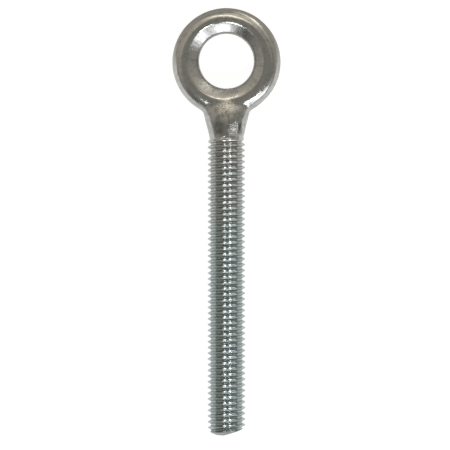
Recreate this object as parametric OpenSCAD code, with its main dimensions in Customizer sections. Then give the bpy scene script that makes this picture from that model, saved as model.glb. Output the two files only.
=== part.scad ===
// Forged eye screw in one piece: a ring eye, a neck that is blended into it and a shank
// with a right-hand thread that ends in a sheared tip.
// It lies as it comes to rest: the hole of the eye looks up along +Z, the shank runs
// along -Y, and the origin is the centre of the hole.
// Distances along the shank are counted from the centre of the hole.

/* [Eye] */
// Outer diameter of the eye
eye_d = 28.6; // [27.4:0.2:30]
// Thickness of the eye, the diameter of its round section
eye_thick = 7.4; // [6.8:0.2:8.2]
// Diameter of the hole at the middle of the eye
hole_d = 14.4; // [13.4:0.2:15.2]
// Length of the straight wall in the middle of the hole
hole_land = 2.9; // [2.4:0.1:3.4]
// Angle between the axis of the hole and the cones that open it on both sides
hole_cone = 53; // [50:1:56]
// How far the hole sits off the centre of the eye, away from the shank
hole_offset = 0.3; // [0:0.1:0.5]

/* [Neck] */
// Distance at which the taper of the neck ends
neck_end = 19.7; // [19.2:0.1:20.6]
// Angle of the taper, on each side
neck_taper = 14; // [11:0.5:16]
// Radius of the fillet in the corner between the eye and the neck
neck_fillet = 1.8; // [1.4:0.1:2.2]
// Largest thickness of the neck, across the faces of the eye
neck_thick = 9.9; // [9.3:0.1:10]
// Distance at which the neck is thickest
neck_crown = 15.3; // [14.9:0.1:16]
// Length of the plain collar between the neck and the thread
collar = 0.5; // [0.4:0.1:1.2]

/* [Thread] */
// Outer diameter of the thread
thread_d = 10; // [9.8:0.1:10.6]
// Distance from crest to crest
pitch = 1.5; // [1.3:0.05:1.6]
// Angle between the two flanks of a groove
flank_angle = 60; // [56:1:60]
// Length over which the crests rise to their full height
run_out = 3.6; // [2:0.2:5]
// Place of the groove around the shank where it comes in, counted from +X
start_turn = 0; // [0:5:355]
// Distance of the tip
reach = 98.1; // [60:0.1:110]

/* [Tip] */
// Width of the chamfer around the tip
chamfer_w = 2.3; // [1:0.1:2.6]
// Length of the chamfer along the shank
chamfer_len = 1; // [0.4:0.1:1.6]
// Slope of the face that the shear left on the tip
shear_angle = 18.5; // [8:0.5:26]
// Distance from the axis to the high edge of that face, on the -X side
shear_edge = 0.6; // [-1:0.1:2]

/* [Hidden] */

$fn = 96;

// Eye
eye_r = eye_d / 2;
section_r = eye_thick / 2;
section_mid = eye_r - section_r;
hole_r = hole_d / 2;
cone_top = eye_thick;
cone_r = hole_r + (cone_top - hole_land / 2) * tan(hole_cone);
core_half = eye_thick / 4;
core_inset = 1.5;

// Thread, with the usual proportions of a coarse metric thread
thread_r = thread_d / 2;
thread_depth = 0.6134 * pitch;
root_r = thread_r - thread_depth;
crest_flat = pitch / 8;
root_flat = pitch / 6;
blank_r = thread_r - pitch / 3;
thread_start = neck_end + collar;
rise_steps = 4;
rise_power = 3;

// Outline of the neck seen from above: a line at the taper, and an arc that is tangent
// to it and to the rim of the eye. The arc dips a little below the rim so that it joins it,
// and the neck ends in a hair-thin shoulder over the collar.
dip = 0.02;
shoulder = 0.04;
shoulder_r = blank_r + shoulder;
rim_r = eye_r - dip;
rim_mid = hole_offset;
line_out = [cos(neck_taper), sin(neck_taper)];
line_back = [sin(neck_taper), -cos(neck_taper)];
line_mid = [shoulder_r, neck_end - rim_mid] + neck_fillet * line_out;
arc_way = -line_mid * line_back
    - sqrt(pow(line_mid * line_back, 2) - line_mid * line_mid + pow(rim_r + neck_fillet, 2));
arc_mid = line_mid + arc_way * line_back;
on_line = arc_mid - neck_fillet * line_out;
on_rim = arc_mid * rim_r / (rim_r + neck_fillet);

// Stations of the neck: inside the eye, round the fillet, down the taper
neck_sides = 36;
neck_steps = 6;
root_at = (hole_r + section_mid) / 2;
root_share = 0.8;
root_half = root_share * (hole_land / 2 + (root_at - hole_r) / tan(hole_cone));
fillet_from = on_rim[1] + rim_mid;
fillet_to = on_line[1] + rim_mid;
stations = concat(
    [for (i = [0:neck_steps - 1]) root_at + (fillet_from - root_at) * i / neck_steps],
    [for (i = [0:neck_steps]) fillet_from + (fillet_to - fillet_from) * i / neck_steps],
    [for (i = [1:neck_steps]) fillet_to + (neck_end - fillet_to) * i / neck_steps]);

// Half the width of the neck at a distance s along the shank
function half_width(s) =
    s < fillet_from ? on_rim[0]
    : s < fillet_to ? arc_mid[0] - sqrt(pow(neck_fillet, 2) - pow(s - rim_mid - arc_mid[1], 2))
    : shoulder_r + (neck_end - s) * tan(neck_taper);

// Half the thickness of the neck: it swells out of the eye and falls off to the collar
swell = 2.6;
function half_thick(s) =
    s < neck_crown
    ? neck_thick / 2 - (neck_thick / 2 - root_half) * pow((neck_crown - s) / (neck_crown - root_at), swell)
    : shoulder_r + (neck_thick / 2 - shoulder_r) * (neck_end - s) / (neck_end - neck_crown);

// Groove of the thread: its bottom fades in over the first turn, out of the plain collar
turn_steps = 20;
overcut = 0.08 * pitch;
groove_r = thread_r + overcut;
groove_top = pitch - crest_flat + 2 * overcut * tan(flank_angle / 2);
fade_in_r = blank_r + overcut;
groove_start = thread_start - root_flat - (fade_in_r - root_r) * tan(flank_angle / 2);
groove_steps = ceil((reach + pitch - groove_start) / pitch * turn_steps);

function groove_root(i) = i < turn_steps ? fade_in_r + (root_r - fade_in_r) * i / turn_steps : root_r;
function half_groove(r) = groove_top / 2 - (groove_r - r) * tan(flank_angle / 2);
function groove_profile(r) =
    [[groove_r, -groove_top / 2], [r, -half_groove(r)], [r, half_groove(r)], [groove_r, groove_top / 2]];

// Side faces between one ring of points and the next, each quad cut in two
function skin(rings, sides) =
    [for (i = [0:rings - 2], k = [0:sides - 1])
        let (a = i * sides + k, b = i * sides + (k + 1) % sides)
        for (f = [[a, a + sides, b + sides], [a, b + sides, b]]) f];

module eye_blank()
    translate([0, -hole_offset, 0])
    rotate_extrude()
    union() {
        translate([section_mid, 0]) circle(r = section_r);
        translate([hole_r - core_inset, -core_half])
            square([section_mid - hole_r + core_inset, 2 * core_half]);
    }

module eye_hole()
    rotate_extrude()
    polygon([[0, -cone_top], [cone_r, -cone_top], [hole_r, -hole_land / 2],
             [hole_r, hole_land / 2], [cone_r, cone_top], [0, cone_top]]);

module neck() {
    points = [for (s = stations, k = [0:neck_sides - 1])
        let (a = (k + 0.5) * 360 / neck_sides) [half_width(s) * cos(a), half_thick(s) * sin(a), s]];
    last = (len(stations) - 1) * neck_sides;
    polyhedron(points, concat(
        [[for (k = [0:neck_sides - 1]) k]],
        skin(len(stations), neck_sides),
        [[for (k = [neck_sides - 1:-1:0]) last + k]]));
}

module shank_blank() {
    rise = [for (i = [0:rise_steps]) let (part = i / rise_steps)
        [thread_r - (thread_r - blank_r) * pow(1 - part, rise_power), thread_start + run_out * part]];
    rotate_extrude()
    polygon(concat([[0, neck_crown], [blank_r, neck_crown]], rise,
        [[thread_r, reach - chamfer_len], [thread_r - chamfer_w, reach], [0, reach]]));
}

module thread_groove() {
    points = [for (i = [0:groove_steps])
        let (a = start_turn + i * 360 / turn_steps, s = groove_start + pitch * i / turn_steps)
        for (p = groove_profile(groove_root(i))) [p[0] * cos(a), p[0] * sin(a), s + p[1]]];
    last = groove_steps * 4;
    polyhedron(points, concat(
        [[0, 1, 2, 3]], skin(groove_steps + 1, 4), [[last + 3, last + 2, last + 1, last]]));
}

module shear_cut()
    translate([-shear_edge, -thread_d, reach])
    rotate([0, shear_angle, 0])
    cube([2 * thread_d, 2 * thread_d, thread_d]);

module eye_screw()
    color("#b4b2aa")
    difference() {
        union() {
            eye_blank();
            rotate([90, 0, 0]) neck();
            rotate([90, 0, 0]) shank_blank();
        }
        eye_hole();
        rotate([90, 0, 0]) thread_groove();
        rotate([90, 0, 0]) shear_cut();
    }

eye_screw();
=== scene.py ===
import logging
import math
from collections.abc import Callable
from dataclasses import dataclass, field
from enum import Enum

import bmesh
import bpy
import numpy as np
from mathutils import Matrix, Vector


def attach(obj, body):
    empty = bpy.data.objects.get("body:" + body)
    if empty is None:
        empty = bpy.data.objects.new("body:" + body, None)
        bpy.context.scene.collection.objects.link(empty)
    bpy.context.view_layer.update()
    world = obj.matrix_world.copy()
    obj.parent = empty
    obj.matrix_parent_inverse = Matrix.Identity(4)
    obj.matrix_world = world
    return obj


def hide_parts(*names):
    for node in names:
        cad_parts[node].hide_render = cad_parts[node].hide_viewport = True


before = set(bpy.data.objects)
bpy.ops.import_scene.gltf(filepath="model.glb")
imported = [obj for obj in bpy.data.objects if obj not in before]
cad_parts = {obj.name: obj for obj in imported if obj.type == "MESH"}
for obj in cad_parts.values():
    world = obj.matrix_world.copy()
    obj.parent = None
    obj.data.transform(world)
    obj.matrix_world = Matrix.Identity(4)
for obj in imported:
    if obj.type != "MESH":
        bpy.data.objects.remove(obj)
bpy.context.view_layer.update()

LOG = logging.getLogger("eye_screw")

# one millimetre, and the distances at which points are joined and faces are dropped, in metres
MM = 0.001
WELD = 2e-6
SLIVER = 1e-7

# columns of the mesh round the shank, and the angle at which each of them lies
COLUMNS = 96
ANGLES = np.arange(COLUMNS) * 2 * math.pi / COLUMNS

# smallest number to divide by, smallest slope and the step that slopes are measured with
TINY = 1e-9
FLAT = 1e-6
PROBE = 1e-4

# a span runs from one value to another, a band is two spans that each fade a mask in, a step is a
# span with the levels before and after it, and a noise is a scale, a detail and a roughness
Distance = Callable[[np.ndarray], np.ndarray]
Span = tuple[float, float]
Band = tuple[Span, Span]
Step = tuple[Span, Span]
Noise = tuple[float, float, float]
Colour = tuple[float, ...]
Socket = bpy.types.NodeSocket
Sockets = bpy.types.bpy_prop_collection
Given = Socket | float | tuple[float, ...]


class Blend(Enum):
    """Ways to put two colours together, by the name of the mix node's mode."""

    MIX = "MIX"
    MULTIPLY = "MULTIPLY"


class Nodes:
    """Short ways to add shader nodes to a tree and link them."""

    # numbers of a mix node's factor, its two colours and its mixed colour
    FACTOR, FIRST, SECOND, MIXED = 0, 6, 7, 2

    def __init__(self, tree: bpy.types.NodeTree) -> None:
        """Keeps the tree that the nodes go into."""
        self.tree = tree

    def give(self, target: Socket, value: Given) -> None:
        """Links a socket to an input, or sets a plain value on it.

        Args:
            target: The input.
            value: The socket or the value that it gets.
        """
        if isinstance(value, Socket):
            self.tree.links.new(value, target)
        else:
            target.default_value = value

    def add(self, kind: str, inputs: dict[str | int, Given] | None = None,
            **settings: str | bpy.types.NodeTree) -> bpy.types.Node:
        """Adds a node.

        Args:
            kind: Name of the node's type, without its prefix.
            inputs: Values or sockets for its inputs, by name or number.
            settings: Properties of the node.

        Returns:
            The node.
        """
        node = self.tree.nodes.new("ShaderNode" + kind)
        for name, value in settings.items():
            setattr(node, name, value)
        for name, value in (inputs or {}).items():
            self.give(node.inputs[name], value)
        return node

    def math(self, kind: str, *values: Given) -> Socket:
        """Adds a sum, a product or another operation on values."""
        return self.add("Math", dict(enumerate(values)), operation=kind).outputs[0]

    def vector(self, kind: str, *values: Given) -> Socket:
        """Adds an operation on vectors that gives a vector."""
        return self.add("VectorMath", dict(enumerate(values)), operation=kind).outputs["Vector"]

    def measure(self, kind: str, *values: Given) -> Socket:
        """Adds an operation on vectors that gives a number."""
        return self.add("VectorMath", dict(enumerate(values)), operation=kind).outputs["Value"]

    def ramp(self, value: Given, span: tuple[Given, Given], levels: Span = (0.0, 1.0)) -> Socket:
        """Adds a smooth step.

        Args:
            value: The value that is looked at.
            span: Where the step begins and where it ends.
            levels: What it gives before the step and after it.

        Returns:
            The result.
        """
        inputs = {"Value": value, "From Min": span[0], "From Max": span[1],
                  "To Min": levels[0], "To Max": levels[1]}
        return self.add("MapRange", inputs, interpolation_type="SMOOTHSTEP").outputs[0]

    def band(self, value: Given, band: Band, least: float = 0.0) -> Socket:
        """Adds a mask between two soft edges, each of which lets a least share through."""
        edges = [self.ramp(value, span, (least, 1.0)) for span in band]
        return self.math("MULTIPLY", *edges)

    def noise(self, place: Given, noise: Noise) -> Socket:
        """Adds a noise texture, by its scale, detail and roughness, and gives its value."""
        inputs = dict(zip(("Vector", "Scale", "Detail", "Roughness"), (place, *noise)))
        return self.add("TexNoise", inputs).outputs[0]

    def mix(self, blend: Blend, share: Given, first: Given, second: Given) -> Socket:
        """Adds a mix of two colours.

        Args:
            blend: The way in which they are put together.
            share: Share of the second colour.
            first: First colour.
            second: Second colour.

        Returns:
            The mixed colour.
        """
        node = self.add("Mix", {self.FACTOR: share, self.FIRST: first, self.SECOND: second},
                        data_type="RGBA", blend_type=blend.value)
        return node.outputs[self.MIXED]


def new_group(name: str, inputs: dict[str, str],
              outputs: dict[str, str]) -> tuple[bpy.types.NodeTree, Nodes, Sockets, Sockets]:
    """Makes an empty node group.

    Args:
        name: Name of the group.
        inputs: Types of its inputs by their names.
        outputs: Types of its outputs by their names.

    Returns:
        The group, its nodes, and the sockets of its inputs and outputs.
    """
    group = bpy.data.node_groups.new(name, "ShaderNodeTree")
    for side, sockets in (("INPUT", inputs), ("OUTPUT", outputs)):
        for label, kind in sockets.items():
            group.interface.new_socket(label, in_out=side, socket_type="NodeSocket" + kind)
    ins, outs = group.nodes.new("NodeGroupInput"), group.nodes.new("NodeGroupOutput")
    return group, Nodes(group), ins.outputs, outs.inputs


@dataclass(frozen=True)
class Places:
    """Where the parts of the finish lie on the screw, in millimetres, from nothing to full."""

    cone: Span = (10.2, 9.7)
    neck: Band = ((-9.8, -11.5), (-20.6, -19.9))
    back: Span = (-17.2, -15.0)
    thread: Span = (-19.9, -20.6)
    down: Span = (-6.0, -60.0)
    tip: Span = (-96.4, -97.0)
    # painted shade: dark bands down both sides of the neck, standing in for dark reflections there
    painted_shade_left: Band = ((0.2, -2.0), (-4.2, -2.4))
    painted_shade_right: Band = ((2.7, 3.2), (4.3, 3.8))
    painted_shade_along: Band = ((-14.4, -17.4), (-20.2, -18.6))

    def group(self) -> bpy.types.NodeTree:
        """Makes the group that tells where on the screw a point lies.

        Returns:
            The group: the place in millimetres, the way from the hole's axis, and the masks.
        """
        masks = ("Cone", "Neck", "Back", "Thread", "Down", "Tip", "PaintedShade")
        kinds = {"Place": "Vector", "Around": "Vector"} | dict.fromkeys(masks, "Float")
        group, n, _, outs = new_group("places", {}, kinds)
        here = n.add("TexCoord").outputs["Object"]
        scaled = n.add("VectorMath", {0: here, "Scale": 1 / MM}, operation="SCALE")
        place = scaled.outputs["Vector"]
        across, along = n.add("SeparateXYZ", {0: place}).outputs[:2]
        flat = n.vector("MULTIPLY", place, (1.0, 1.0, 0.0))
        neck = n.band(along, self.neck)
        sides = n.math("ADD", n.band(across, self.painted_shade_left), n.band(across, self.painted_shade_right))
        found = {
            "Place": place,
            "Around": n.vector("NORMALIZE", flat),
            "Cone": n.ramp(n.measure("LENGTH", flat), self.cone),
            "Neck": neck,
            "Back": n.math("MULTIPLY", neck, n.ramp(along, self.back)),
            "Thread": n.ramp(along, self.thread),
            "Down": n.ramp(along, self.down),
            "Tip": n.ramp(along, self.tip),
            "PaintedShade": n.math("MULTIPLY", sides, n.band(along, self.painted_shade_along)),
        }
        for name, value in found.items():
            n.give(outs[name], value)
        return group


@dataclass(frozen=True)
class Grain:
    """A grain in the height of the surface: its size and its rise and fall, in millimetres."""

    size: float
    height: float

    def lay(self, n: Nodes, group: bpy.types.NodeTree, place: Socket) -> Socket:
        """Places the group of the grain in a material and gives its height."""
        inputs = {"Place": place, "Size": self.size, "Height": self.height * 2}
        return n.add("Group", inputs, node_tree=group).outputs["Height"]


@dataclass(frozen=True)
class ZincFinish:
    """Bright zinc plating: warm on the forged eye, cooler down the thread, rough and speckled on
    the neck, with faint radial marks in the cones, a painted highlight on the back of the neck and
    painted shade down its sides. Lengths are in millimetres.
    """

    eye_colour: Colour = (0.535, 0.53, 0.515, 1.0)
    tip_colour: Colour = (0.49, 0.54, 0.545, 1.0)
    # colour of the painted highlight on the back of the neck
    painted_highlight_colour: Colour = (0.82, 0.79, 0.72, 1.0)
    # darkening for real stains, and for the painted shade down the neck's sides
    stain_and_shade_colour: Colour = (0.4, 0.39, 0.37, 1.0)

    # a painted highlight: a pale patch on the back of the neck, stretched along it
    highlight_stretch: tuple[float, float, float] = (1.5, 0.4, 0.4)
    highlight_noise: Noise = (1.0, 3.0, 0.7)
    highlight_span: Span = (0.34, 0.6)
    highlight_off: Span = (3.2, 0.4)

    # clouds of stain all over, more of them on the neck, darker ones at the tip, and painted shade
    # in dark mottled bands down the neck's sides
    cloud_noise: Noise = (0.7, 4.0, 0.65)
    cloud_span: Span = (0.46, 0.66)
    cloud_share: float = 0.5
    cloud_more: float = 0.4
    cloud_depth: float = 0.5
    shade_and_tip_span: Span = (0.22, 0.48)
    tip_mark: float = 0.6

    # streaks of stain in the cones
    streak_noise: Noise = (1.0, 3.0, 0.6)
    streak_span: Span = (0.5, 0.68)
    streak_count: float = 7.0
    streak_drift: float = 0.25
    streak_depth: float = 0.4

    # roughness, from worn to dull, and what each part has more
    smooth: float = 0.11
    rough: float = 0.24
    cone_rough: float = 0.07
    back_rough: float = 0.09
    tip_rough: float = 0.15
    worn_noise: Noise = (1.1, 3.0, 0.65)
    worn_span: Span = (0.35, 0.7)

    # grains
    grain_detail: float = 2.5
    grain_rough: float = 0.6
    fine: Grain = Grain(0.32, 0.0045)
    specks: Grain = Grain(0.34, 0.022)
    rays: Grain = Grain(1.0, 0.013)
    scuffs: Grain = Grain(0.35, 0.003)
    smudges: Grain = Grain(2.4, 0.03)

    # specks: beside the middle of the neck towards the thread, across it near the ring, and the tip
    specks_side: Band = ((-0.8, 1.6), (3.4, 2.8))
    specks_least: float = 0.2
    specks_low: Step = ((-14.9, -16.8), (0.4, 3.2))
    specks_off: Span = (3.2, 1.6)
    specks_high: Step = ((-15.0, -13.4), (0.0, 3.4))
    specks_tip: float = 2.0

    # radial marks, with their share on the ring and what the cones have more
    ray_count: float = 30.0
    ray_share: float = 0.6
    ray_more: float = 0.4

    places: Places = Places()

    def grain_group(self) -> bpy.types.NodeTree:
        """Makes the group that gives the height of a fine grain.

        Returns:
            The group, with the place, the size of the grain and its height as inputs.
        """
        group, n, ins, outs = new_group("grain", {"Place": "Vector", "Size": "Float",
                                                  "Height": "Float"}, {"Height": "Float"})
        scale = n.math("DIVIDE", 1.0, ins["Size"])
        noise = n.noise(ins["Place"], (scale, self.grain_detail, self.grain_rough))
        centred = n.math("SUBTRACT", noise, 0.5)
        n.give(outs["Height"], n.math("MULTIPLY", centred, ins["Height"]))
        return group

    def height(self, n: Nodes, where: Sockets) -> Socket:
        """Adds the height of the surface, grain by grain.

        Args:
            n: Nodes of the material.
            where: Outputs of the group of places.

        Returns:
            The height in millimetres.
        """
        group = self.grain_group()
        place, thread = where["Place"], where["Thread"]
        across, along = n.add("SeparateXYZ", {0: place}).outputs[:2]
        side = n.band(across, self.specks_side, self.specks_least)
        low = n.math("MULTIPLY", side, n.ramp(along, *self.specks_low))
        middle = n.ramp(n.math("ABSOLUTE", across), self.specks_off)
        high = n.math("MULTIPLY", middle, n.ramp(along, *self.specks_high))
        speckled = n.math("MULTIPLY", where["Neck"], n.math("ADD", low, high))
        speckled = n.math("MULTIPLY_ADD", where["Tip"], self.specks_tip, speckled)
        around = n.vector("MULTIPLY", where["Around"], (self.ray_count,) * 3)
        rayed = n.math("MULTIPLY_ADD", where["Cone"], self.ray_more, self.ray_share)
        layers = (
            (self.specks, place, speckled),
            (self.rays, around, n.math("SUBTRACT", rayed, thread)),
            (self.scuffs, place, thread),
            (self.smudges, place, n.math("SUBTRACT", 1.0, thread)),
        )
        height = self.fine.lay(n, group, place)
        for grain, spot, mask in layers:
            layer = n.math("MULTIPLY", grain.lay(n, group, spot), mask)
            height = n.math("ADD", height, layer)
        return height

    def colour(self, n: Nodes, where: Sockets) -> Socket:
        """Adds the colour: warm to cool along the screw, painted highlight and shade on the neck,
        stains.

        Args:
            n: Nodes of the material.
            where: Outputs of the group of places.

        Returns:
            The colour.
        """
        place = where["Place"]
        base = n.mix(Blend.MIX, where["Down"], self.eye_colour, self.tip_colour)
        # painted highlight: a pale patch on the back of the neck, near the ring
        drawn = n.noise(n.vector("MULTIPLY", place, self.highlight_stretch), self.highlight_noise)
        off = n.math("ABSOLUTE", n.add("SeparateXYZ", {0: place}).outputs[0])
        patch = n.math("MULTIPLY", n.ramp(off, self.highlight_off), n.ramp(drawn, self.highlight_span))
        patch = n.math("MULTIPLY", where["Back"], patch)
        base = n.mix(Blend.MIX, patch, base, self.painted_highlight_colour)
        cloud = n.noise(place, self.cloud_noise)
        share = n.math("MULTIPLY_ADD", where["Neck"], self.cloud_more, self.cloud_share)
        cloudy = n.math("MULTIPLY", n.ramp(cloud, self.cloud_span), share)
        drift = n.vector("MULTIPLY", place, (self.streak_drift,) * 3)
        turned = n.vector("MULTIPLY_ADD", where["Around"], (self.streak_count,) * 3, drift)
        streaks = n.ramp(n.noise(turned, self.streak_noise), self.streak_span)
        streaky = n.math("MULTIPLY", streaks, where["Cone"])
        # painted shade in bands down the neck's sides, and darker stain at the tip
        shade_bands_and_tip = n.math("MAXIMUM", where["PaintedShade"], n.math("MULTIPLY", where["Tip"], self.tip_mark))
        stain_and_shade_share = n.math("MULTIPLY", cloudy, self.cloud_depth)
        for more in (n.math("MULTIPLY", streaky, self.streak_depth),
                     n.math("MULTIPLY", shade_bands_and_tip, n.ramp(cloud, self.shade_and_tip_span))):
            stain_and_shade_share = n.math("MAXIMUM", stain_and_shade_share, more)
        return n.mix(Blend.MULTIPLY, stain_and_shade_share, base, self.stain_and_shade_colour)

    def roughness(self, n: Nodes, where: Sockets) -> Socket:
        """Adds the roughness: worn smooth in places, rougher in the cones, on the neck and the tip.

        Args:
            n: Nodes of the material.
            where: Outputs of the group of places.

        Returns:
            The roughness.
        """
        worn = n.noise(where["Place"], self.worn_noise)
        rough = n.ramp(worn, self.worn_span, (self.smooth, self.rough))
        for part, more in (("Back", self.back_rough), ("Cone", self.cone_rough),
                           ("Tip", self.tip_rough)):
            rough = n.math("MULTIPLY_ADD", where[part], more, rough)
        return rough

    def material(self) -> bpy.types.Material:
        """Makes the material of the plating.

        Returns:
            The material.
        """
        mat = bpy.data.materials.new("zinc_plating")
        mat.use_nodes = True
        n = Nodes(mat.node_tree)
        where = n.add("Group", node_tree=self.places.group()).outputs
        bump = n.add("Bump", {"Height": self.height(n, where), "Strength": 1.0, "Distance": MM})
        wanted = {"Metallic": 1.0, "Normal": bump.outputs[0], "Base Color": self.colour(n, where),
                  "Roughness": self.roughness(n, where)}
        for name, value in wanted.items():
            n.give(mat.node_tree.nodes["Principled BSDF"].inputs[name], value)
        return mat


def smooth_max(a: np.ndarray, b: np.ndarray, width: float | np.ndarray) -> np.ndarray:
    """Larger of two distances, with the corner between them rounded.

    Args:
        a: First distances.
        b: Second distances.
        width: How near the two have to be for the rounding to begin.

    Returns:
        The blended distances.
    """
    near = np.maximum(width - np.abs(a - b), 0.0) / width
    return np.maximum(a, b) + near * near * width / 4


def smooth_min(a: np.ndarray, b: np.ndarray, width: float | np.ndarray) -> np.ndarray:
    """Smaller of two distances, with a fillet in the corner between them.

    Args:
        a: First distances.
        b: Second distances.
        width: How near the two have to be for the fillet to begin.

    Returns:
        The blended distances.
    """
    return -smooth_max(-a, -b, width)


def march(distance: Distance, start: np.ndarray, way: np.ndarray, reach: float = 9.0,
          halvings: int = 42) -> np.ndarray:
    """Walks along rays from inside a solid to its surface.

    Args:
        distance: Function that gives the signed distance of points.
        start: Starts of the rays, inside the solid.
        way: Directions of the rays, of length one.
        reach: The furthest that the surface can lie.
        halvings: How often the reach is halved.

    Returns:
        The points where the rays leave the solid.
    """
    low, high = np.zeros(len(start)), np.full(len(start), reach)
    for _ in range(halvings):
        mid = (low + high) / 2
        inside = distance(start + way * mid[:, None]) < 0
        low, high = np.where(inside, mid, low), np.where(inside, high, mid)
    return start + way * low[:, None]


@dataclass
class Eye:
    """The ring, with its hole opened by a cone on both sides. Sizes are in millimetres."""

    outer_d: float = 28.46
    thick: float = 7.4
    hole_d: float = 14.4
    land: float = 2.9
    cone_angle: float = 53.0
    cone_length: float = 3.7
    cone_bulge_r: float = 30.0
    cone_x: float = -0.4
    cone_y: float = -0.12
    # how far the hole sits off the middle of the ring, away from the shank
    hole_offset: float = 0.3
    inner_fullness: float = 0.8
    land_round: float = 0.5
    crest_round: float = 0.42
    crest_round_far: float = 0.14
    crest_round_span: Span = (-9.0, 4.0)

    # the mesh: rays leave a circle in the section, and rows lie closer where it turns a corner
    ray_ring_r: float = 10.3
    columns: int = 144
    mouth_columns: int = 24
    outer_rows: int = 24
    inner_rows: int = 34
    mouth_angle: float = 84.0
    fine_rows: int = 1440
    corner_weight: float = 1.1

    @property
    def section_r(self) -> float:
        """Radius of the round section."""
        return self.thick / 2

    @property
    def section_mid(self) -> float:
        """Radius of the circle that the section is swept round."""
        return (self.outer_d - self.thick) / 2

    def rim(self, p: np.ndarray) -> np.ndarray:
        """Signed distance of points to the round section, as if there were no hole.

        Args:
            p: Points, one a row.

        Returns:
            The distances, negative inside.
        """
        x, y, z = p.T
        across = np.hypot(x, y + self.hole_offset) - self.section_mid
        across = np.where(across < 0, across * self.inner_fullness, across)
        return np.hypot(across, z) - self.section_r

    def hole(self, p: np.ndarray) -> np.ndarray:
        """Signed distance of points to the hole and its cones, negative in the metal round it.

        Args:
            p: Points, one a row.

        Returns:
            The distances, positive in the hole.
        """
        x, y, z = p.T
        angle, half = math.radians(self.cone_angle), self.cone_length / 2
        deep = math.sqrt(self.cone_bulge_r**2 - half**2)
        mid_r = self.hole_d / 2 + half * math.sin(angle) + deep * math.cos(angle)
        mid_z = self.land / 2 + half * math.cos(angle) - deep * math.sin(angle)
        wall = self.hole_d / 2 - np.hypot(x, y)
        off_axis = np.hypot(x - self.cone_x, y - self.cone_y)
        cone = np.hypot(off_axis - mid_r, np.abs(z) - mid_z) - self.cone_bulge_r
        return smooth_max(wall, cone, self.land_round)

    def distance(self, p: np.ndarray) -> np.ndarray:
        """Signed distance of points to the surface of the ring, negative inside."""
        return smooth_max(self.rim(p), self.hole(p), self.crest_width(p))

    def crest_width(self, p: np.ndarray) -> np.ndarray:
        """Rounding of the cone's edge at points: wide beside the neck, narrow at the far side."""
        return np.interp(p[:, 1], self.crest_round_span, (self.crest_round, self.crest_round_far))

    def ray(self, turn: np.ndarray, tilt: np.ndarray) -> tuple[np.ndarray, np.ndarray]:
        """Starts and directions of rays that leave the middle of the section.

        Args:
            turn: Angles round the eye, from the shank towards +X, in degrees.
            tilt: Angles round the section, from the rim towards +Z, in degrees.

        Returns:
            The starts and the directions, one a row.
        """
        turn, tilt = np.broadcast_arrays(np.radians(turn), np.radians(tilt))
        out = np.stack([np.sin(turn), -np.cos(turn), np.zeros_like(turn)], -1)
        up = np.array([0, 0, 1.0])
        way = out * np.cos(tilt)[..., None] + up * np.sin(tilt)[..., None]
        return out.reshape(-1, 3) * self.ray_ring_r, way.reshape(-1, 3)

    def row_tilts(self) -> np.ndarray:
        """Angles of the rows round the section, closer together where the section turns a corner.

        Returns:
            The angles in degrees: the rim first, from -Z to +Z, and then the hole's side.
        """
        rim = np.linspace(-self.mouth_angle, self.mouth_angle, self.outer_rows + 1)
        fine = np.linspace(self.mouth_angle, 360 - self.mouth_angle, self.fine_rows + 1)
        start, way = self.ray(np.full_like(fine, 180.0), fine)
        line = march(self.distance, start, way)
        step = np.diff(line, axis=0)
        length = np.linalg.norm(step, axis=1)
        heading = np.unwrap(np.arctan2(step[:, 2], step[:, 1]))
        turned = np.abs(np.gradient(heading))
        measure = np.r_[0, np.cumsum(length + self.corner_weight * turned)]
        wanted = np.linspace(0, measure[-1], self.inner_rows + 1)
        return np.r_[rim, np.interp(wanted, measure, fine)[1:-1]]


@dataclass
class Neck:
    """The tapered neck between the eye and the thread. Sizes are in millimetres."""

    end: float = 19.7
    end_r: float = 4.52
    taper: float = 14.0
    thick: float = 9.9
    crown: float = 15.2
    eye_top: float = 3.5
    eye_top_at: float = 10.5
    rise: float = 21.5
    rise_round: float = 1.2
    start: float = 8.0
    start_round: float = 1.2

    # power of the flattened section, which turns into an ellipse towards the thread
    flatness: float = 2.6
    flat_to: float = 12.5
    round_before_end: float = 1.0

    # fillet between ring and neck, and its share that is left high up on the ring
    blend: float = 0.8
    blend_tight: float = 0.45
    blend_span: Span = (1.5, 3.6)

    # the mesh
    tube_from: float = 14.6
    tube_rings: int = 15
    blend_rings: int = 9

    def half_width(self, s: np.ndarray) -> np.ndarray:
        """Half the width seen from above, at distances along the shank."""
        return self.end_r + (self.end - s) * math.tan(math.radians(self.taper))

    def half_thick(self, s: np.ndarray) -> np.ndarray:
        """Half the thickness, which rises out of the eye and falls to the thread.

        Args:
            s: Distances along the shank, from the centre of the hole.

        Returns:
            The half thicknesses.
        """
        slope = self.eye_top + (s - self.eye_top_at) * math.tan(math.radians(self.rise))
        fall = (s - self.crown) / (self.end - self.crown)
        back = self.thick / 2 - (self.thick / 2 - self.end_r) * fall
        return smooth_min(slope, back, self.rise_round)

    def distance(self, p: np.ndarray) -> np.ndarray:
        """Signed distance of points to the surface of the neck alone.

        Args:
            p: Points, one a row.

        Returns:
            The distances, negative inside.
        """
        x, s, z = p[:, 0], -p[:, 1], p[:, 2]
        a, b = self.half_width(s), self.half_thick(s)
        out = np.maximum(np.hypot(x, z), TINY)
        power = np.interp(s, [self.flat_to, self.end - self.round_before_end],
                          [self.flatness, 2.0])
        spread = np.abs(x / out / a) ** power + np.abs(z / out / b) ** power
        reach = np.maximum(spread, TINY) ** (-1 / power)
        return smooth_max(out - reach, self.start - s, self.start_round)

    def ring(self, s: float) -> np.ndarray:
        """Points round the neck at one distance along the shank, from +X towards +Z."""
        return np.stack([self.half_width(s) * np.cos(ANGLES), np.full_like(ANGLES, -s),
                         self.half_thick(s) * np.sin(ANGLES)], -1)


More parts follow.
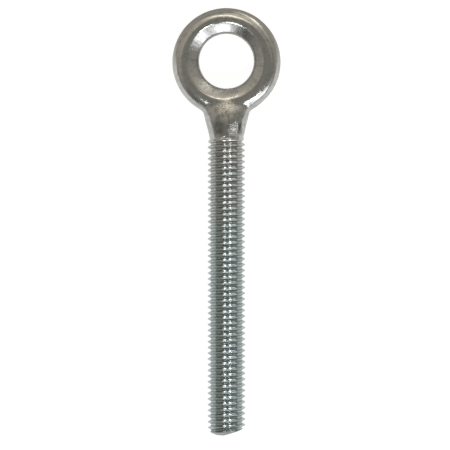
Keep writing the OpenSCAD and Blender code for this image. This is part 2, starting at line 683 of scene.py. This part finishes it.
@dataclass
class Thread:
    """The threaded shank and its sheared tip. Sizes are in millimetres."""

    outer_d: float = 10.0
    pitch: float = 1.5
    depth_share: float = 0.6134
    half_flank: float = 30.0
    collar: float = 0.5
    run_out: float = 3.6
    reach: float = 98.1
    chamfer_w: float = 2.3
    chamfer_len: float = 1.0
    shear_angle: float = 18.5
    shear_edge: float = 0.6
    rise_power: int = 3
    # shares of the pitch: radius of the round root, and height of the first cut over the collar
    root_share: float = 0.1444
    overcut_share: float = 0.08

    # the mesh: a row a little up each flank, its first row past the neck, and turns past the tip
    foot: float = 0.07
    first_row: float = 0.25
    spare_turns: int = 2

    @property
    def crest_r(self) -> float:
        """Radius of the crests."""
        return self.outer_d / 2

    @property
    def root_r(self) -> float:
        """Radius of the roots."""
        return self.crest_r - self.depth_share * self.pitch

    @property
    def crest_share(self) -> float:
        """Radius of the round of a crest as a share of the pitch, so that it meets the flanks."""
        return 0.5 / math.tan(math.radians(self.half_flank)) - self.depth_share - self.root_share

    @property
    def blank_r(self) -> float:
        """Radius of the plain collar."""
        return self.crest_r - self.pitch / 3

    @property
    def shallow_r(self) -> float:
        """Radius at which the groove comes in, just outside the collar."""
        return self.blank_r + self.overcut_share * self.pitch

    def groove_start(self, start: float) -> float:
        """Distance at which the middle of the groove comes in, by where the thread starts."""
        flank = (self.shallow_r - self.root_r) * math.tan(math.radians(self.half_flank))
        return start - self.pitch / 6 - flank

    def envelope(self, s: np.ndarray, start: float) -> np.ndarray:
        """Radius of the crests, which rise out of the collar and end in the chamfer.

        Args:
            s: Distances from the centre of the hole.
            start: Distance at which the thread starts.

        Returns:
            The radii.
        """
        rise = np.clip((s - start) / self.run_out, 0, 1)
        swollen = self.crest_r - (self.crest_r - self.blank_r) * (1 - rise) ** self.rise_power
        past = np.maximum(s - (self.reach - self.chamfer_len), 0) / self.chamfer_len
        return np.minimum(swollen, self.crest_r - self.chamfer_w * past)

    def offsets(self) -> np.ndarray:
        """Places of the rows across one pitch, closer together in the root and on the crest.

        Returns:
            Their distances from the middle of the groove.
        """
        lean = math.cos(math.radians(self.half_flank)) * self.pitch
        top = self.pitch / 2
        root, crest = self.root_share * lean, top - self.crest_share * lean
        half = np.array([0, root / 2, root, root + self.foot, crest, (crest + top) / 2])
        return np.r_[half, top, self.pitch - half[:0:-1]]

    def bow(self, away: np.ndarray, share: float) -> np.ndarray:
        """Depth of a round that is tangent to both flanks, below the point where they would meet.

        Args:
            away: Distances along the shank from the middle of the round.
            share: Radius of the round as a share of the pitch.

        Returns:
            The depths: those of the round near its middle, and those of the flanks past it.
        """
        radius, lean = share * self.pitch, math.radians(self.half_flank)
        inside = np.minimum(np.abs(away), radius * math.cos(lean))
        return np.where(np.abs(away) < radius * math.cos(lean),
                        radius / math.sin(lean) - np.sqrt(radius**2 - inside**2),
                        np.abs(away) / math.tan(lean))

    def radius(self, turns: np.ndarray, across: np.ndarray, s: np.ndarray,
               start: float) -> np.ndarray:
        """Radius of the threaded surface.

        Args:
            turns: Turns of the groove since it came in.
            across: Distances along the shank from the middle of the nearest groove.
            s: Distances from the centre of the hole.
            start: Distance at which the thread starts.

        Returns:
            The radii.
        """
        bottom = self.shallow_r + (self.root_r - self.shallow_r) * np.clip(turns, 0, 1)
        cut = bottom + self.bow(across, self.root_share) - self.root_share * self.pitch
        from_crest = self.pitch / 2 - np.abs(across)
        top = self.bow(from_crest, self.crest_share) - self.crest_share * self.pitch
        near_top = np.abs(across) > self.pitch / 4
        full = np.where(near_top, np.minimum(cut, self.crest_r - top), cut)
        return np.minimum(full, self.envelope(s, start))

    def end_at(self, x: np.ndarray) -> np.ndarray:
        """Distance at which the tip ends, by the place across it."""
        slope = math.tan(math.radians(self.shear_angle))
        return self.reach - np.maximum(x + self.shear_edge, 0) * slope


@dataclass(frozen=True)
class Waves:
    """Shallow waves that the dies left on the forging: four sets, each bent by a slower wave.

    Height and length are in millimetres, turns and phases in radians from one set to the next.
    """

    height: float = 0.05
    length: float = 4.6
    finer: tuple[float, ...] = (1.0, 1.4, 1.9, 2.7)
    turn: float = 2.4
    turn_from: float = 0.3
    lift: float = 1.7
    lift_from: float = 1.1
    phase: float = 1.9
    bend: float = 1.3
    bend_length: float = 1.7

    def rise(self, p: np.ndarray) -> np.ndarray:
        """Height of the waves.

        Args:
            p: Points, one a row.

        Returns:
            The height at each point.
        """
        total = np.zeros(len(p))
        for k, finer in enumerate(self.finer):
            turn, lift = self.turn * k + self.turn_from, self.lift * k + self.lift_from
            way = np.array([math.sin(turn), math.cos(turn), math.sin(lift)])
            slow = self.length * self.bend_length
            bend = self.bend * np.sin(p @ np.roll(way, 1) * 2 * math.pi / slow + k)
            along = p @ way * 2 * math.pi * finer / self.length
            total += np.sin(along + self.phase * k + bend) / finer
        return total * self.height / 2


@dataclass(frozen=True)
class Mark:
    """A bump or a hollow on the forging: its middle, its height and its radius, in millimetres."""

    x: float
    y: float
    z: float
    rise: float
    radius: float

    def height(self, p: np.ndarray) -> np.ndarray:
        """Height of the mark at points, negative for a hollow."""
        away = ((p - np.array([self.x, self.y, self.z])) ** 2).sum(1)
        return self.rise * np.exp(-away / (self.radius / 2) ** 2 / 2)


@dataclass
class EyeScrew:
    """The whole screw as one closed mesh: the eye, the neck grown out of it, the thread and the
    tip. Sizes are in millimetres.
    """

    eye: Eye = field(default_factory=Eye)
    neck: Neck = field(default_factory=Neck)
    thread: Thread = field(default_factory=Thread)
    finish: ZincFinish = field(default_factory=ZincFinish)
    waves: Waves = field(default_factory=Waves)
    marks: tuple[Mark, ...] = (
        Mark(8.5, -10.5, 0.0, -0.16, 6.0),
        Mark(5.75, -13.9, 0.6, 0.28, 0.4),
        Mark(1.7, -14.6, 4.9, -0.22, 0.4),
        Mark(0.9, -7.3, 1.4, 0.22, 0.4),
    )
    # share of the waves on the ring, and how the unevenness fades before the thread
    ring_calm: float = 0.16
    calm_span: Span = (10.5, 13.5)
    even_before_end: float = 1.0
    fade_length: float = 2.0

    # what is evened out beside the mouth, and how hard each point is pulled
    loose_columns: int = 6
    loose_rows: int = 2
    pull: float = 0.6

    # rings of the tip, the length over which edges stay crisp, and their least fold in radians
    tip_shares: tuple[float, ...] = (0.93, 0.8, 0.62, 0.42, 0.22)
    crisp_length: float = 3.0
    crisp_fold: float = 0.32

    points: list[np.ndarray] = field(default_factory=list)
    faces: list[np.ndarray] = field(default_factory=list)
    count: int = 0

    def add(self, points: np.ndarray) -> np.ndarray:
        """Adds points to the mesh.

        Args:
            points: The points, in any grid of rows.

        Returns:
            Their numbers, in the same grid.
        """
        grid = np.arange(points[..., 0].size).reshape(points.shape[:-1]) + self.count
        self.points.append(points.reshape(-1, 3))
        self.count += grid.size
        return grid

    def quads(self, a: np.ndarray, b: np.ndarray, c: np.ndarray, d: np.ndarray) -> None:
        """Adds one face for each four numbers at the same place of four grids."""
        self.faces.append(np.stack([a, b, c, d], -1).reshape(-1, 4))

    def forged(self, p: np.ndarray) -> np.ndarray:
        """Signed distance of points to the eye and neck, with the unevenness of a forging.

        Args:
            p: Points, one a row.

        Returns:
            The distances, negative inside.
        """
        neck, s = self.neck, -p[:, 1]
        blend = neck.blend * np.interp(np.abs(p[:, 2]), neck.blend_span, (1.0, neck.blend_tight))
        grown = smooth_min(self.eye.rim(p), neck.distance(p), blend)
        clean = smooth_max(grown, self.eye.hole(p), self.eye.crest_width(p))
        fade = np.clip((neck.end - self.even_before_end - s) / self.fade_length, 0, 1)
        calm = np.interp(s, self.calm_span, (self.ring_calm, 1.0))
        uneven = sum(mark.height(p) for mark in self.marks) + calm * self.waves.rise(p)
        return clean - fade * uneven

    def seat(self, p: np.ndarray, rounds: int = 5) -> np.ndarray:
        """Moves points straight on to the forged surface.

        Args:
            p: Points near the surface, one a row.
            rounds: How often the move is repeated.

        Returns:
            The moved points.
        """
        for _ in range(rounds):
            here = self.forged(p)
            slope = np.stack([(self.forged(p + e) - here) / PROBE for e in np.eye(3) * PROBE], -1)
            p = p - slope * (here / np.maximum((slope**2).sum(1), FLAT))[:, None]
        return p

    def build_eye(self) -> tuple[np.ndarray, np.ndarray]:
        """Adds the ring, open where the neck grows out of it.

        Returns:
            The grid of numbers, by column and row, and the loop of numbers round the mouth.
        """
        eye, half = self.eye, self.eye.mouth_columns // 2
        turns = np.arange(eye.columns) * 360 / eye.columns
        tilts = eye.row_tilts()
        start, way = eye.ray(turns[:, None], tilts[None, :])
        grid = self.add(march(eye.distance, start, way).reshape(len(turns), len(tilts), 3))
        after_col, after_row = np.roll(grid, -1, 0), np.roll(grid, -1, 1)
        corner = np.roll(after_col, -1, 1)
        cols = np.arange(eye.columns)
        at_neck = (cols < half) | (cols >= eye.columns - half)
        kept = ~(at_neck[:, None] & (np.arange(len(tilts)) < eye.outer_rows)[None, :])
        self.quads(grid[kept], after_col[kept], corner[kept], after_row[kept])
        mid, last = eye.outer_rows // 2, eye.outer_rows
        walk = ([(half, row) for row in range(mid, last)]
                + [(col, last) for col in range(half, -half, -1)]
                + [(-half, row) for row in range(last, 0, -1)]
                + [(col, 0) for col in range(-half, half)]
                + [(half, row) for row in range(mid)])
        return grid, np.array([grid[col, row] for col, row in walk])

    def build_neck(self, loop: np.ndarray) -> tuple[np.ndarray, np.ndarray]:
        """Adds the rings between the mouth of the eye and the end of the neck.

        Args:
            loop: Numbers of the points round the mouth of the eye.

        Returns:
            The numbers of the last ring, and those of the rings that may still move.
        """
        neck = self.neck
        rim = np.concatenate(self.points)[loop]
        first = neck.ring(neck.tube_from)
        share = (np.arange(1, neck.blend_rings + 1) / (neck.blend_rings + 1))[:, None, None]
        blend = self.add(rim * (1 - share) + first * share)
        s = np.linspace(neck.tube_from, neck.end, neck.tube_rings)
        tube = self.add(np.stack([neck.ring(v) for v in s]))
        rings = np.concatenate([loop[None], blend, tube])
        ahead = np.roll(rings, -1, 1)
        self.quads(rings[:-1], rings[1:], ahead[1:], ahead[:-1])
        return tube[-1], np.concatenate([blend, tube[:-2]])

    def relax(self, loose: np.ndarray, rounds: int = 30) -> None:
        """Evens out the grid round the neck without leaving the surface.

        Args:
            loose: Numbers of the points that may move.
            rounds: How often each point moves towards the middle of its neighbours.
        """
        p = np.concatenate(self.points)
        faces = np.concatenate(self.faces)
        edges = np.concatenate([faces[:, [k, (k + 1) % 4]] for k in range(4)])
        edges = np.unique(np.sort(edges, 1), axis=0)
        edges = np.concatenate([edges, edges[:, ::-1]])
        edges = edges[np.isin(edges[:, 0], loose)]
        known, index = np.unique(edges[:, 0], return_inverse=True)
        share = np.bincount(index)[:, None]
        on_eye = np.arange(self.eye.columns * len(self.eye.row_tilts()))
        p[on_eye] = self.seat(p[on_eye])
        p[known] = self.seat(p[known])
        for _ in range(rounds):
            middle = np.zeros((len(known), 3))
            np.add.at(middle, index, p[edges[:, 1]])
            p[known] = self.seat(p[known] * (1 - self.pull) + middle / share * self.pull, 1)
        p[known] = self.seat(p[known])
        self.points = [p]

    def build_shank(self, ring: np.ndarray) -> np.ndarray:
        """Adds the thread on a grid whose rows climb with the helix, down to the tip.

        Args:
            ring: Numbers of the last ring of the neck.

        Returns:
            The numbers of the ring where the sides end and the tip begins.
        """
        t, start = self.thread, self.neck.end + self.thread.collar
        offsets = t.offsets()
        groove = t.groove_start(start)
        turn_count = math.ceil((t.reach - groove) / t.pitch) + t.spare_turns
        turn = np.repeat(np.arange(-1, turn_count), len(offsets))
        across = np.tile(offsets, turn_count + 1)
        turns = turn[None, :] + ANGLES[:, None] / (2 * math.pi)
        s = groove + turns * t.pitch + across[None, :]
        past_crest = across > t.pitch / 2
        near = np.where(past_crest, across - t.pitch, across)
        s = np.maximum(s, self.neck.end + t.first_row)
        r = t.radius(turns + past_crest[None, :], near, s, start)
        beyond = s - t.end_at(r * np.cos(ANGLES)[:, None])
        for c in range(COLUMNS):
            k = int(np.argmax(beyond[c] >= 0))
            share = -beyond[c, k - 1] / (beyond[c, k] - beyond[c, k - 1])
            s[c, k:] = s[c, k - 1] + (s[c, k] - s[c, k - 1]) * share
            r[c, k:] = r[c, k - 1] + (r[c, k] - r[c, k - 1]) * share
        x, z = r * np.cos(ANGLES)[:, None], r * np.sin(ANGLES)[:, None]
        grid = self.add(np.stack([x, -s, z], -1))
        per = len(offsets)
        seam = np.full(grid.shape[1], -1)
        seam[:-per] = grid[0, per:]
        seam[-per:] = grid[0, -1]
        ahead = np.concatenate([grid[1:], seam[None]])
        self.quads(grid[:, :-1], grid[:, 1:], ahead[:, 1:], ahead[:, :-1])
        first = grid[:, 0]
        self.quads(ring, first, np.roll(first, -1), np.roll(ring, -1))
        return grid[:, -1]

    def build_tip(self, ring: np.ndarray) -> None:
        """Closes the tip with the oblique face that the shear left.

        Args:
            ring: Numbers of the ring where the sides end.
        """
        rim = np.concatenate(self.points)[ring]
        rows = rim[None] * np.array([1, 0, 1]) * np.array(self.tip_shares)[:, None, None]
        rows[..., 1] = -self.thread.end_at(rows[..., 0])
        rows[0, :, 1] = (rim[:, 1] + rows[0, :, 1]) / 2
        grid = np.concatenate([ring[None], self.add(rows)])
        ahead = np.roll(grid, -1, 1)
        self.quads(grid[:-1], grid[1:], ahead[1:], ahead[:-1])
        centre = self.add(np.array([[0, -self.thread.end_at(np.zeros(1))[0], 0]]))
        last = grid[-1]
        middle = np.full_like(last, centre[0])
        self.faces.append(np.stack([last, middle, np.roll(last, -1)], -1))

    def build(self) -> bpy.types.Object:
        """Makes the mesh of the whole screw.

        Returns:
            The object that stands for the forging.
        """
        grid, loop = self.build_eye()
        ring, loose = self.build_neck(loop)
        around = self.eye.mouth_columns // 2 + self.loose_columns
        outside = np.arange(-self.loose_rows, self.eye.outer_rows + self.loose_rows + 1)
        beside = np.concatenate([grid[:around], grid[-around:]])[:, outside]
        self.relax(np.concatenate([loose.ravel(), beside.ravel()]))
        self.build_tip(self.build_shank(ring))
        points = np.concatenate(self.points) * MM
        faces = [face.tolist() for part in self.faces for face in part]
        mesh = bpy.data.meshes.new("eye_screw_forging")
        mesh.from_pydata(points.tolist(), [], faces)
        piece = bpy.data.objects.new("eye_screw_forging", mesh)
        bpy.context.scene.collection.objects.link(piece)
        self.tidy_mesh(mesh)
        return piece

    def tidy_mesh(self, mesh: bpy.types.Mesh) -> None:
        """Joins points that coincide, points the faces outwards and keeps the tip's edges crisp.

        Args:
            mesh: The mesh, which is changed in place.
        """
        work = bmesh.new()
        work.from_mesh(mesh)
        bmesh.ops.remove_doubles(work, verts=work.verts, dist=WELD)
        bmesh.ops.dissolve_degenerate(work, edges=work.edges, dist=SLIVER)
        bmesh.ops.recalc_face_normals(work, faces=work.faces)
        for face in work.faces:
            face.smooth = True
        tip_y = -(self.thread.reach - self.crisp_length) * MM
        for edge in work.edges:
            if edge.is_manifold and all(vert.co.y < tip_y for vert in edge.verts):
                edge.smooth = edge.calc_face_angle() <= self.crisp_fold
        work.to_mesh(mesh)
        work.free()

    def dress(self, piece: bpy.types.Object) -> None:
        """Gives the forging its finish and says what it is in the shared frame.

        Args:
            piece: The object that stands for the forging.
        """
        piece.data.materials.append(self.finish.material())
        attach(piece, "root")
        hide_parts("eye_screw")


@dataclass(frozen=True)
class SoftLight:
    """A patch of light round the object, with soft edges. Angles are in degrees.

    A patch of negative strength takes light away, as a dark flag does.
    """

    azimuth: float
    elevation: float
    width: float
    height: float
    strength: float
    colour: Colour = (1.0, 1.0, 1.0)
    softness: float = 0.5
    slant: float = 0.0

    def axes(self) -> tuple[Vector, Vector, Vector]:
        """Directions of the patch, and those across it and up it.

        Returns:
            The three directions. The last two are scaled so that the patch's edge is at one.
        """
        turn, lift = math.radians(self.azimuth), math.radians(self.elevation)
        middle = Vector((math.cos(turn) * math.cos(lift), math.sin(turn) * math.cos(lift),
                         math.sin(lift)))
        level = Vector((-math.sin(turn), math.cos(turn), 0.0))
        slant = math.radians(self.slant)
        across = level * math.cos(slant) + middle.cross(level) * math.sin(slant)
        up = middle.cross(across)
        return (middle, across / math.sin(math.radians(self.width / 2)),
                up / math.sin(math.radians(self.height / 2)))


@dataclass
class Studio:
    """The pale floor, the soft light over it and the camera. Sizes are in millimetres."""

    floor_z: float = -5.0
    floor_half: float = 3000.0
    floor_white: float = 0.4
    floor_glow: float = 0.88

    # what the floor shows in a mirror: darker beyond the eye, pale below it, with one lit spot
    mirrored_far: Colour = (0.13, 0.115, 0.08, 1.0)
    mirrored_near: Colour = (0.605, 0.61, 0.6, 1.0)
    mirrored_span: Span = (16.0, -8.0)
    mirrored_spot: Colour = (2.6, 2.45, 2.1, 1.0)
    spot_x: float = 45.0
    spot_y: float = 98.0
    spot_span: Span = (46.0, 12.0)

    # the camera, and its clipping distances in metres
    camera_x: float = -0.39
    camera_y: float = -43.0
    camera_z: float = 900.0
    frame_w: float = 118.1
    sensor_w: float = 36.0
    clip: Span = (0.05, 20.0)

    room: Colour = (0.215, 0.21, 0.19)
    lights: tuple[SoftLight, ...] = (
        SoftLight(-86, 17, 28, 20, 3.0, (0.96, 1.0, 1.04), 0.9),
        SoftLight(-65, 16, 70, 26, 0.35, (0.9, 1.0, 1.1), 0.8),
        SoftLight(-43, 18, 22, 16, 2.8, (0.96, 1.0, 1.04), 0.9),
        SoftLight(-46, 32, 18, 9, 1.3, (0.98, 1.0, 1.01), 0.7),
        SoftLight(-56, 43, 11, 12, 19.0, (0.98, 1.0, 1.01), 0.6),
        SoftLight(-104, 48, 12, 12, 16.0, (0.98, 1.0, 1.01), 0.6),
        SoftLight(88, 38, 44, 8, 1.65, (1.1, 1.02, 0.88), 0.6, -24.0),
        SoftLight(75, 46, 100, 14, 0.2, (1.12, 1.02, 0.84), 0.8, -24.0),
        SoftLight(90, 30, 120, 36, 0.28, (1.12, 1.02, 0.84), 0.7),
        SoftLight(140, 42, 80, 16, 0.2, (1.14, 1.02, 0.82), 0.8),
        SoftLight(61, 2, 30, 9, 2.2, (1.06, 1.01, 0.92), 0.6, -30.0),
        SoftLight(66, 18, 48, 24, 0.3, (1.08, 1.02, 0.88), 0.6),
        SoftLight(180, 14, 90, 60, 0.13, (1.06, 1.0, 0.92), 0.8),
        SoftLight(0, 14, 70, 40, 0.08, (1.04, 1.0, 0.92), 0.8),
        SoftLight(60, 75, 110, 110, 0.06, (1.06, 1.02, 0.88), 0.8),
        SoftLight(-132, 22, 36, 36, -0.1, (1.12, 1.0, 0.8), 0.6),
        SoftLight(-14, 34, 40, 26, -0.06, (1.12, 1.0, 0.8), 0.6),
        SoftLight(-42, 4, 60, 8, -0.14, (1.0, 1.0, 1.0), 0.5),
    )

    def build_floor(self) -> bpy.types.Object:
        """Lays the floor.

        Returns:
            The floor.
        """
        half = self.floor_half * MM
        corners = [(-half, -half), (half, -half), (half, half), (-half, half)]
        mesh = bpy.data.meshes.new("floor")
        mesh.from_pydata([(x, y, self.floor_z * MM) for x, y in corners], [], [(0, 1, 2, 3)])
        floor = bpy.data.objects.new("floor", mesh)
        bpy.context.scene.collection.objects.link(floor)
        floor.data.materials.append(self.floor_material())
        return floor

    def floor_material(self) -> bpy.types.Material:
        """Makes the white of the floor, which glows where it is looked at or mirrored.

        Returns:
            The material.
        """
        mat = bpy.data.materials.new("white_paper")
        mat.use_nodes = True
        mat.node_tree.nodes.clear()
        n = Nodes(mat.node_tree)
        paper = n.add("BsdfDiffuse", {"Color": (*(self.floor_white,) * 3, 1.0)})
        path = n.add("LightPath").outputs
        here = n.add("TexCoord").outputs["Object"]
        along = n.add("SeparateXYZ", {0: here}).outputs["Y"]
        span, spot_span = ([edge * MM for edge in s] for s in (self.mirrored_span, self.spot_span))
        mirrored = n.mix(Blend.MIX, n.ramp(along, span), self.mirrored_far, self.mirrored_near)
        away = n.measure("DISTANCE", here, (self.spot_x * MM, self.spot_y * MM, 0.0))
        mirrored = n.mix(Blend.MIX, n.ramp(away, spot_span), mirrored, self.mirrored_spot)
        in_mirror = n.math("ADD", path["Is Glossy Ray"], path["Is Transmission Ray"])
        colour = n.mix(Blend.MIX, in_mirror, (*(self.floor_glow,) * 3, 1.0), mirrored)
        seen = n.math("ADD", path["Is Camera Ray"], in_mirror)
        glow = n.add("Emission", {"Color": colour, "Strength": seen})
        both = n.add("AddShader", {0: paper.outputs[0], 1: glow.outputs[0]})
        n.add("OutputMaterial", {"Surface": both.outputs[0]})
        return mat

    def soft_light_group(self) -> bpy.types.NodeTree:
        """Makes the group that masks one patch of light.

        Returns:
            The group, with the direction, the axes of the patch and its softness as inputs.
        """
        ways = ("Direction", "Middle", "Across", "Up")
        group, n, ins, outs = new_group(
            "soft_light", dict.fromkeys(ways, "Vector") | {"Softness": "Float"}, {"Mask": "Float"})
        ahead, across, up = (n.measure("DOT_PRODUCT", ins["Direction"], ins[way])
                             for way in ways[1:])
        away = n.measure("LENGTH", n.add("CombineXYZ", {"X": across, "Y": up}).outputs[0])
        outer, inner = (n.math(kind, 1.0, ins["Softness"]) for kind in ("ADD", "SUBTRACT"))
        in_front = n.math("GREATER_THAN", ahead, 0.0)
        n.give(outs["Mask"], n.math("MULTIPLY", n.ramp(away, (outer, inner)), in_front))
        return group

    def build_world(self) -> bpy.types.World:
        """Fills the room round the object with its dim grey and its patches of light.

        Returns:
            The world.
        """
        world = bpy.data.worlds.new("studio")
        world.use_nodes = True
        world.node_tree.nodes.clear()
        n = Nodes(world.node_tree)
        group = self.soft_light_group()
        way = n.add("TexCoord").outputs["Generated"]
        total = n.add("CombineXYZ", dict(enumerate(self.room))).outputs[0]
        for light in self.lights:
            middle, across, up = light.axes()
            patch = n.add("Group", {"Direction": way, "Middle": middle, "Across": across, "Up": up,
                                    "Softness": light.softness}, node_tree=group)
            lit = tuple(light.strength * c for c in light.colour)
            total = n.vector("MULTIPLY_ADD", patch.outputs["Mask"], lit, total)
        sky = n.add("Background", {"Color": total})
        n.add("OutputWorld", {"Surface": sky.outputs[0]})
        bpy.context.scene.world = world
        return world

    def build_camera(self) -> bpy.types.Object:
        """Hangs the camera straight above the object, as the photograph was taken.

        Returns:
            The camera.
        """
        data = bpy.data.cameras.new("camera")
        data.sensor_width = self.sensor_w
        data.lens = self.sensor_w * self.camera_z / self.frame_w
        data.clip_start, data.clip_end = self.clip
        camera = bpy.data.objects.new("camera", data)
        camera.location = Vector((self.camera_x, self.camera_y, self.camera_z)) * MM
        bpy.context.scene.collection.objects.link(camera)
        bpy.context.scene.camera = camera
        return camera


def main() -> None:
    """Builds the screw, its light and its camera."""
    logging.basicConfig(level=logging.INFO, format="%(message)s")
    screw = EyeScrew()
    piece = screw.build()
    screw.dress(piece)
    LOG.info("forging: %d faces", len(piece.data.polygons))
    studio = Studio()
    floor = studio.build_floor()
    LOG.info("floor: %s", floor.data.materials[0].name)
    studio.build_world()
    LOG.info("light: %d patches", len(studio.lights))
    camera = studio.build_camera()
    LOG.info("camera: lens of %.1f mm", camera.data.lens)
    bpy.context.scene.view_settings.view_transform = "Standard"


if __name__ == "__main__":
    main()
